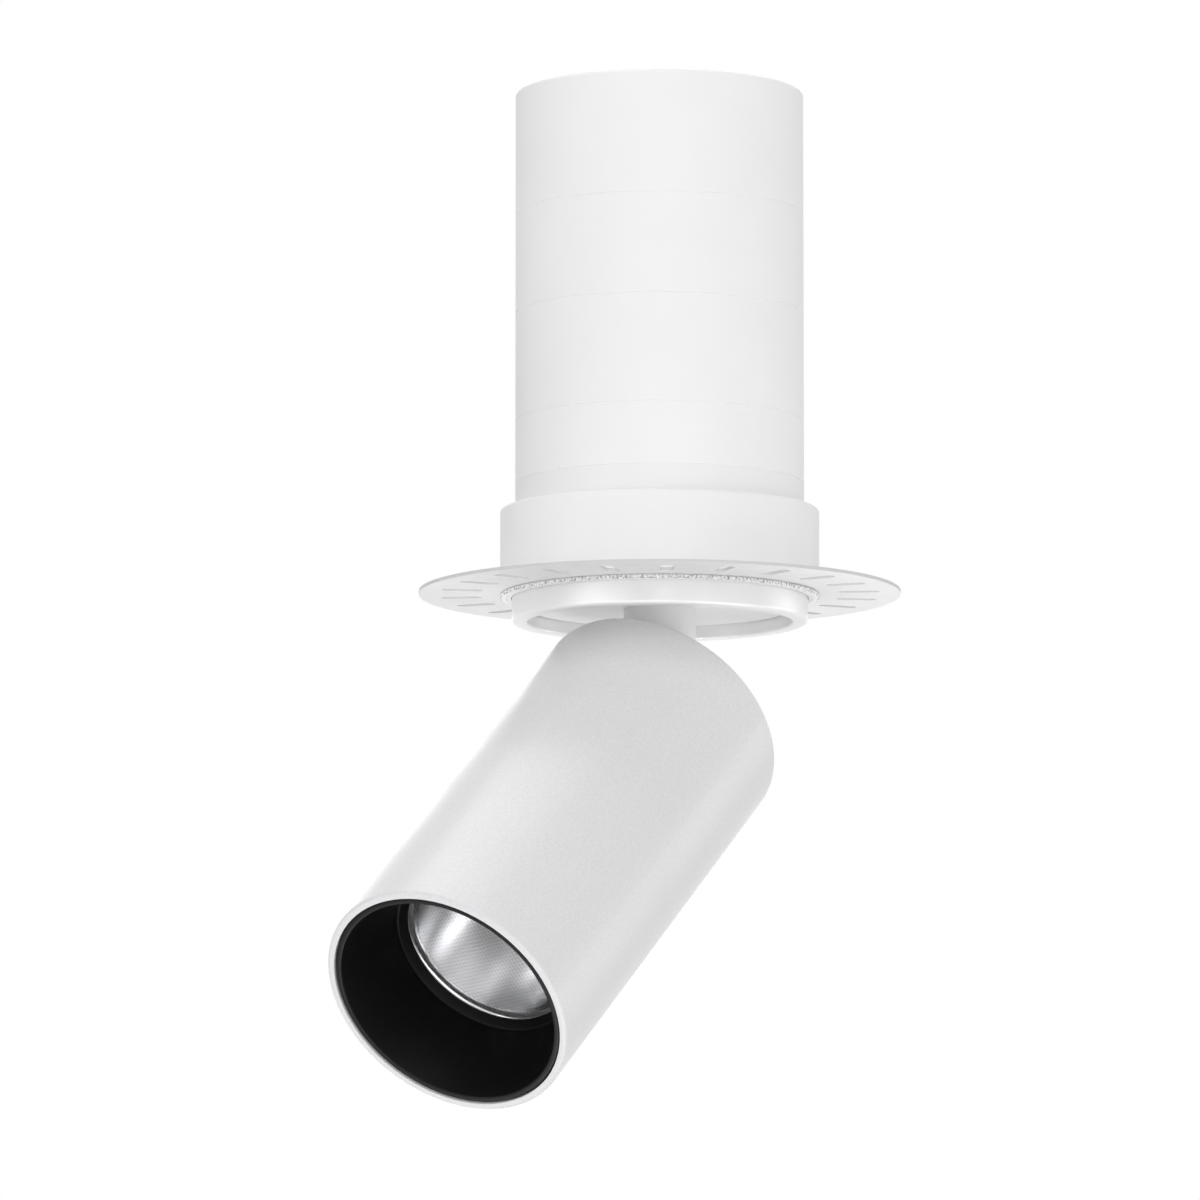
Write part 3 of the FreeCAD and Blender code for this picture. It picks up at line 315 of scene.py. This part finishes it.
def moulded(name, dark, pale, rough, clear=0.0):
    """Moulded plastic or rubber: a soft, slightly cloudy surface with a fine spark-eroded grain."""
    rough_swing = 0.06
    clear_depth = 0.001
    material, tree, shader, place = finish_of(name)
    tint(tree, grain(tree, place, per_metre=90, detail=3), shader.inputs["Base Color"], dark, pale)
    fine = grain(tree, place, per_metre=3000)
    spread(tree, fine, shader.inputs["Roughness"], rough - rough_swing, rough + rough_swing)
    relief(tree, fine, shader.inputs["Normal"], depth=0.00001)
    shader.inputs["Subsurface Weight"].default_value = clear
    shader.inputs["Subsurface Radius"].default_value = (clear_depth, clear_depth, clear_depth)
    return material


dress(moulded("natural_nylon", (0.78, 0.77, 0.73), (0.84, 0.83, 0.80), rough=0.45, clear=0.2),
      "swivel_bush", "thrust_washer", "friction_washers", "led_holder")


# Driver
# A pale grey moulded case and lid, a terminal block of the same plastic, and one circuit board with
# green solder mask inside the case.

dress(moulded("driver_grey", (0.62, 0.63, 0.64), (0.70, 0.71, 0.72), rough=0.5),
      "driver_case", "driver_lid", "terminal_block")


def solder_mask():
    material, tree, shader, place = finish_of("solder_mask")
    tracks = tree.nodes.new("ShaderNodeTexVoronoi")
    tracks.distance = "MANHATTAN"
    tracks.inputs["Scale"].default_value = 180
    tree.links.new(place, tracks.inputs["Vector"])
    tint(tree, tracks.outputs["Distance"], shader.inputs["Base Color"],
         low=(0.06, 0.30, 0.13), high=(0.03, 0.16, 0.07), start=0.3, end=0.4)
    relief(tree, tracks.outputs["Distance"], shader.inputs["Normal"], depth=0.00002)
    shader.inputs["Roughness"].default_value = 0.3
    return material


dress(solder_mask(), "driver_board")


# Grommets, O-ring, seal and thermal pad
# Moulded black rubber lines the cable holes and holds the baffle in the tube. The lens sits on a clear
# silicone ring, and a soft grey filled pad lies under the light source.

dress(moulded("black_rubber", (0.012, 0.012, 0.012), (0.022, 0.022, 0.022), rough=0.7),
      "cable_grommet", "cap_grommet", "baffle_o_ring")
dress(moulded("clear_silicone", (0.70, 0.71, 0.72), (0.78, 0.78, 0.78), rough=0.4, clear=0.5), "lens_seal")
dress(moulded("filled_pad", (0.36, 0.38, 0.40), (0.42, 0.44, 0.46), rough=0.8), "thermal_pad")


# Bezel ring, swivel plate and stem
# Turned aluminium sprayed satin white. The bezel screws up into the collar and covers the edge of the
# plaster; the plate turns inside it and carries the stem.

bezel_satin = coating("bezel_satin", (0.86, 0.86, 0.86), (0.89, 0.89, 0.89), rough=0.34, spots=1800,
                      depth=0.0000005, gloss=0.6, metal=0.4)
dress(bezel_satin, "bezel_ring")
# The swivel plate and stem take the bezel's paint, painted whiter: painted light in the recess where the
# bezel and head shade them.
plate_satin_painted_light = coating("plate_satin_painted_light", (0.93, 0.93, 0.93), (0.95, 0.95, 0.95), rough=0.35, spots=1800,
                      depth=0.000001, gloss=0.5)
dress(plate_satin_painted_light, "swivel_disc", "swivel_stem")


# Head tube and rear cap
# An extruded aluminium tube with a turned plug in its rear end, both powder-coated white. The coat has a
# fine sandy grain that shows where light grazes it.

def powder_coat():
    material, tree, shader, place = finish_of("powder_coat")
    sand = grain(tree, place, per_metre=1800)
    drift = grain(tree, place, per_metre=70)
    tint(tree, sand, shader.inputs["Base Color"], low=(0.72, 0.718, 0.73), high=(0.785, 0.782, 0.793))
    spread(tree, drift, shader.inputs["Roughness"], low=0.28, high=0.34)
    relief(tree, sand, shader.inputs["Normal"], depth=0.00002)
    return material


dress(powder_coat(), "head_tube", "rear_cap")


# Light source
# A round field of yellow phosphor under clear silicone, on the metal-core board. It is unlit.

def phosphor():
    material, tree, shader, place = finish_of("phosphor")
    tint(tree, grain(tree, place, per_metre=1500), shader.inputs["Base Color"],
         low=(0.80, 0.60, 0.16), high=(0.90, 0.72, 0.24))
    shader.inputs["Roughness"].default_value = 0.35
    shader.inputs["Coat Weight"].default_value = 0.6
    return material


dress(phosphor(), "led_emitter")


# Reflector
# A moulded cup with a vacuum-metallised inside, frosted a little so that the light source's image is
# blurred. Its flange carries the lens.

def metallised():
    material, tree, shader, place = finish_of("metallised")
    tint(tree, grain(tree, place, per_metre=300), shader.inputs["Base Color"],
         low=(0.92, 0.92, 0.93), high=(0.96, 0.96, 0.97))
    spread(tree, grain(tree, place, per_metre=900), shader.inputs["Roughness"], low=0.17, high=0.22)
    shader.inputs["Metallic"].default_value = 1.0
    return material


dress(metallised(), "reflector")


# Lens
# A clear moulded disc, held between the reflector's flange and the baffle. Its front is faintly domed and
# covered in small frosted beads that soften the beam; a flat, polished rim runs round them.

lens_r = 0.0222
lens_low = -0.0888
lens_top = -0.0864
lens_dome = 0.0007
rim_r = 0.0205
window_r = 0.0189
window_rings = 63
window_steps = 400
bead_row = 0.0013
bead_height = 0.0001
ring_shade_crown = 0.45

# Lens and baffle are drawn below the tilt pin with the head straight down, then tilted to rest.
tilt = next(joint for joint in frame["joints"] if joint["name"] == "head_tilt")
rest_tilt = math.radians(-tilt["range_deg"][0])
hang = Matrix.Translation(Vector(tilt["pos_m"])) @ Matrix.Rotation(rest_tilt, 4, Vector(tilt["axis"]))

domed_front = []
for ring in range(window_rings + 1):
    share = ring / window_rings
    domed_front.append((window_r * share, lens_low - lens_dome * (1 - share ** 2)))
edge_and_back = [(rim_r, lens_low), (lens_r, lens_low), (lens_r, lens_top), (0, lens_top)]
window = spun(domed_front + edge_and_back, window_steps)
axle = [edge for edge in window.edges if edge.is_wire]
bmesh.ops.delete(window, geom=axle, context="EDGES")
# The crown gives each bead its height and also its painted shade: the lower the crown, the greyer the
# plastic.
crown = window.verts.layers.float.new("crown")
frost = window.verts.layers.float.new("frost")
last_bead_r = window_r * (1 - 0.5 / window_rings)
rim_middle_r = (window_r + rim_r) / 2
for corner in window.verts:
    corner[crown] = 1
    reach = corner.co.xy.length
    on_front = corner.co.z < lens_low + lens_dome / 10
    if on_front and reach < last_bead_r:
        across = math.cos(2 * math.pi * corner.co.x / bead_row)
        along = math.cos(2 * math.pi * corner.co.y / bead_row)
        corner[crown] = (1 + across * along) / 2
        corner.co.z -= bead_height * corner[crown]
        corner[frost] = 1
    # The flat ring between the beads and the rim gets a low crown: painted shade, a grey band.
    elif on_front and reach < rim_middle_r:
        corner[crown] = ring_shade_crown
bmesh.ops.transform(window, matrix=hang, verts=window.verts)


def clear_acrylic():
    """Clear plastic with painted shade, greyer in the valleys between the beads and on the flat ring inside
    the rim; matt on the beads and polished elsewhere.
    """
    material, tree, shader, _ = finish_of("clear_acrylic")
    height = tree.nodes.new("ShaderNodeAttribute")
    height.attribute_name = "crown"
    tint(tree, height.outputs["Fac"], shader.inputs["Base Color"], low=(0.58, 0.58, 0.59), high=(1, 1, 1),
         start=0.1, end=0.6)
    matt = tree.nodes.new("ShaderNodeAttribute")
    matt.attribute_name = "frost"
    spread(tree, matt.outputs["Fac"], shader.inputs["Roughness"], low=0.05, high=0.3, start=0, end=1)
    shader.inputs["Transmission Weight"].default_value = 1.0
    shader.inputs["IOR"].default_value = 1.49
    return material


piece_of(window, "beaded_lens", clear_acrylic(), "head", "lens_clear", "lens")


# Baffle
# A deep black cone of moulded plastic with a spark-eroded satin surface and a small ledge near the lens.
# It pushes into the tube's mouth on its O-ring and hides the lens from the side.

baffle_mouth_r = 0.0267
baffle_outer_r = 0.0282
baffle_front = -0.1118
baffle_barrel_top = -0.1038
baffle_step = -0.0916
baffle_step_r = 0.0222
baffle_seat = -0.0894
baffle_throat_r = 0.0209
skirt_r = 0.0224
skirt_out = 0.0237
skirt_top = -0.0844
groove_low = -0.10806
groove_top = -0.10634
groove_r = 0.02658
baffle_steps = 192
lip_round = 0.0007
edge_round = 0.00025
ledge = 0.0005
ledge_round = 0.00012
edge_match = ledge_round / 10

cone = spun([(baffle_mouth_r, baffle_front), (baffle_outer_r, baffle_front), (baffle_outer_r, groove_low),
             (groove_r, groove_low), (groove_r, groove_top), (baffle_outer_r, groove_top),
             (baffle_outer_r, baffle_barrel_top), (skirt_out, baffle_step), (skirt_out, skirt_top),
             (skirt_r, skirt_top), (skirt_r, baffle_seat), (baffle_throat_r, baffle_seat),
             (baffle_step_r, baffle_step), (baffle_step_r + ledge, baffle_step)], baffle_steps)
for radius, height, rounding in ((baffle_outer_r, baffle_front, lip_round),
                                 (baffle_mouth_r, baffle_front, edge_round),
                                 (baffle_step_r, baffle_step, ledge_round)):
    rim = [edge for edge in cone.edges
           if all(abs(corner.co.z - height) + abs(corner.co.xy.length - radius) < edge_match
                  for corner in edge.verts)]
    bmesh.ops.bevel(cone, geom=rim, offset=rounding, offset_type="OFFSET", affect="EDGES", segments=4,
                    profile=0.5, material=-1)
bmesh.ops.transform(cone, matrix=hang, verts=cone.verts)


def satin_black():
    material, tree, shader, place = finish_of("satin_black")
    spark = grain(tree, place, per_metre=2600, detail=3)
    tint(tree, spark, shader.inputs["Base Color"], low=(0.002, 0.002, 0.002), high=(0.005, 0.005, 0.005))
    spread(tree, spark, shader.inputs["Roughness"], low=0.36, high=0.5)
    relief(tree, spark, shader.inputs["Normal"], depth=0.000006)
    shader.inputs["Specular IOR Level"].default_value = 0.2
    return material


piece_of(cone, "baffle_cone", satin_black(), "head", "black_baffle", "baffle")


# Studio
# A plain pale floor far below the ceiling light, a pale surround and soft lamps at a plain level. Floor and
# surround look white where the camera sees them, and the floor keeps the spotlight's shadow.

floor_z = -3.2
floor_half = 12.0
floor_grey = (0.82, 0.82, 0.82, 1)
floor_fill = 0.6
surround_grey = (0.50, 0.50, 0.50, 1)
pure_white = (1, 1, 1, 1)


def seen_directly(tree):
    """One for what the camera sees, straight, in gloss or through glass; nought for all other light."""
    path = tree.nodes.new("ShaderNodeLightPath")
    seen = path.outputs["Is Camera Ray"]
    for kind in ("Is Glossy Ray", "Is Transmission Ray"):
        either = tree.nodes.new("ShaderNodeMath")
        either.operation = "MAXIMUM"
        tree.links.new(seen, either.inputs[0])
        tree.links.new(path.outputs[kind], either.inputs[1])
        seen = either.outputs["Value"]
    return seen


ground = bmesh.new()
bmesh.ops.create_grid(ground, x_segments=1, y_segments=1, size=floor_half)
bmesh.ops.translate(ground, verts=ground.verts, vec=(0, 0, floor_z))
floor_data = bpy.data.meshes.new("studio_floor")
ground.to_mesh(floor_data)
ground.free()
floor = bpy.data.objects.new("studio_floor", floor_data)
bpy.context.scene.collection.objects.link(floor)
floor_paint, floor_tree, floor_shader, _ = finish_of("floor_paint")
floor_shader.inputs["Base Color"].default_value = floor_grey
floor_shader.inputs["Roughness"].default_value = 0.9
floor_shader.inputs["Emission Color"].default_value = pure_white
spread(floor_tree, seen_directly(floor_tree), floor_shader.inputs["Emission Strength"],
       low=0, high=floor_fill, start=0, end=1)
floor_data.materials.append(floor_paint)

world = bpy.data.worlds.new("studio")
world.use_nodes = True
bpy.context.scene.world = world
air = world.node_tree
shade = air.nodes["Background"]
shade.inputs["Color"].default_value = surround_grey
white = air.nodes.new("ShaderNodeBackground")
white.inputs["Color"].default_value = pure_white
backdrop = air.nodes.new("ShaderNodeMixShader")
air.links.new(seen_directly(air), backdrop.inputs["Fac"])
air.links.new(shade.outputs["Background"], backdrop.inputs[1])
air.links.new(white.outputs["Background"], backdrop.inputs[2])
air.links.new(backdrop.outputs["Shader"], air.nodes["World Output"].inputs["Surface"])

# Each lamp faces the middle of the flange. Azimuth 0 is the photographed side.
for name, azimuth, elevation, distance, width, height, watts in (
        ("overhead_box", 180, 78, 1.3, 1.0, 1.0, 5.4),
        ("front_box", 0, 28, 1.8, 1.4, 0.8, 7.9),
        ("front_low_box", -5, -25, 1.8, 2.2, 1.4, 6.8),
        ("left_box", -55, 0, 1.5, 0.8, 1.0, 2.6),
        ("right_box", 32, 10, 1.5, 1.3, 0.8, 0.7),
        ("right_low_box", 62, -40, 1.5, 1.2, 1.0, 3.6),
        ("right_back_box", 112, -7, 1.5, 0.8, 0.8, 2.3),
        ("back_box", 180, 15, 1.5, 0.9, 0.8, 3.2),
        ("low_box", -85, -74, 1.5, 0.6, 0.6, 6.9)):
    around = math.radians(azimuth)
    above = math.radians(elevation)
    away = Vector((math.sin(around) * math.cos(above), -math.cos(around) * math.cos(above),
                   math.sin(above)))
    lamp_data = bpy.data.lights.new(name, "AREA")
    lamp_data.shape = "RECTANGLE"
    lamp_data.size = width
    lamp_data.size_y = height
    lamp_data.energy = watts
    lamp = bpy.data.objects.new(name, lamp_data)
    lamp.location = away * distance
    lamp.rotation_mode = "QUATERNION"
    lamp.rotation_quaternion = away.to_track_quat("Z", "Y")
    lamp.visible_camera = False
    bpy.context.scene.collection.objects.link(lamp)


# Camera
# It stands a little below the ceiling plane and looks up, with a long lens, as the photograph was taken.

photo_side = 1200
focal_pixels = 11000
origin_pixel = (659.75, 591.31)
flange_r = 0.056
flange_half_pixels = 241
look_up = math.radians(7.59)
look_round = math.radians(1.7)
sensor = 36.0

ahead = Vector((math.sin(look_round) * math.cos(look_up), math.cos(look_round) * math.cos(look_up),
                math.sin(look_up)))
rightward = Vector((math.cos(look_round), -math.sin(look_round), 0))
upward = rightward.cross(ahead)
to_origin = (ahead + rightward * (origin_pixel[0] - photo_side / 2) / focal_pixels
             - upward * (origin_pixel[1] - photo_side / 2) / focal_pixels)
camera_data = bpy.data.cameras.new("camera")
camera_data.sensor_width = sensor
camera_data.lens = sensor * focal_pixels / photo_side
camera_data.clip_start = 0.1
camera_data.clip_end = 50
camera = bpy.data.objects.new("camera", camera_data)
camera.matrix_world = Matrix((rightward, upward, -ahead)).transposed().to_4x4()
camera.location = -to_origin * flange_r * focal_pixels / flange_half_pixels
bpy.context.scene.collection.objects.link(camera)
bpy.context.scene.camera = camera
bpy.context.scene.view_settings.view_transform = "Standard"
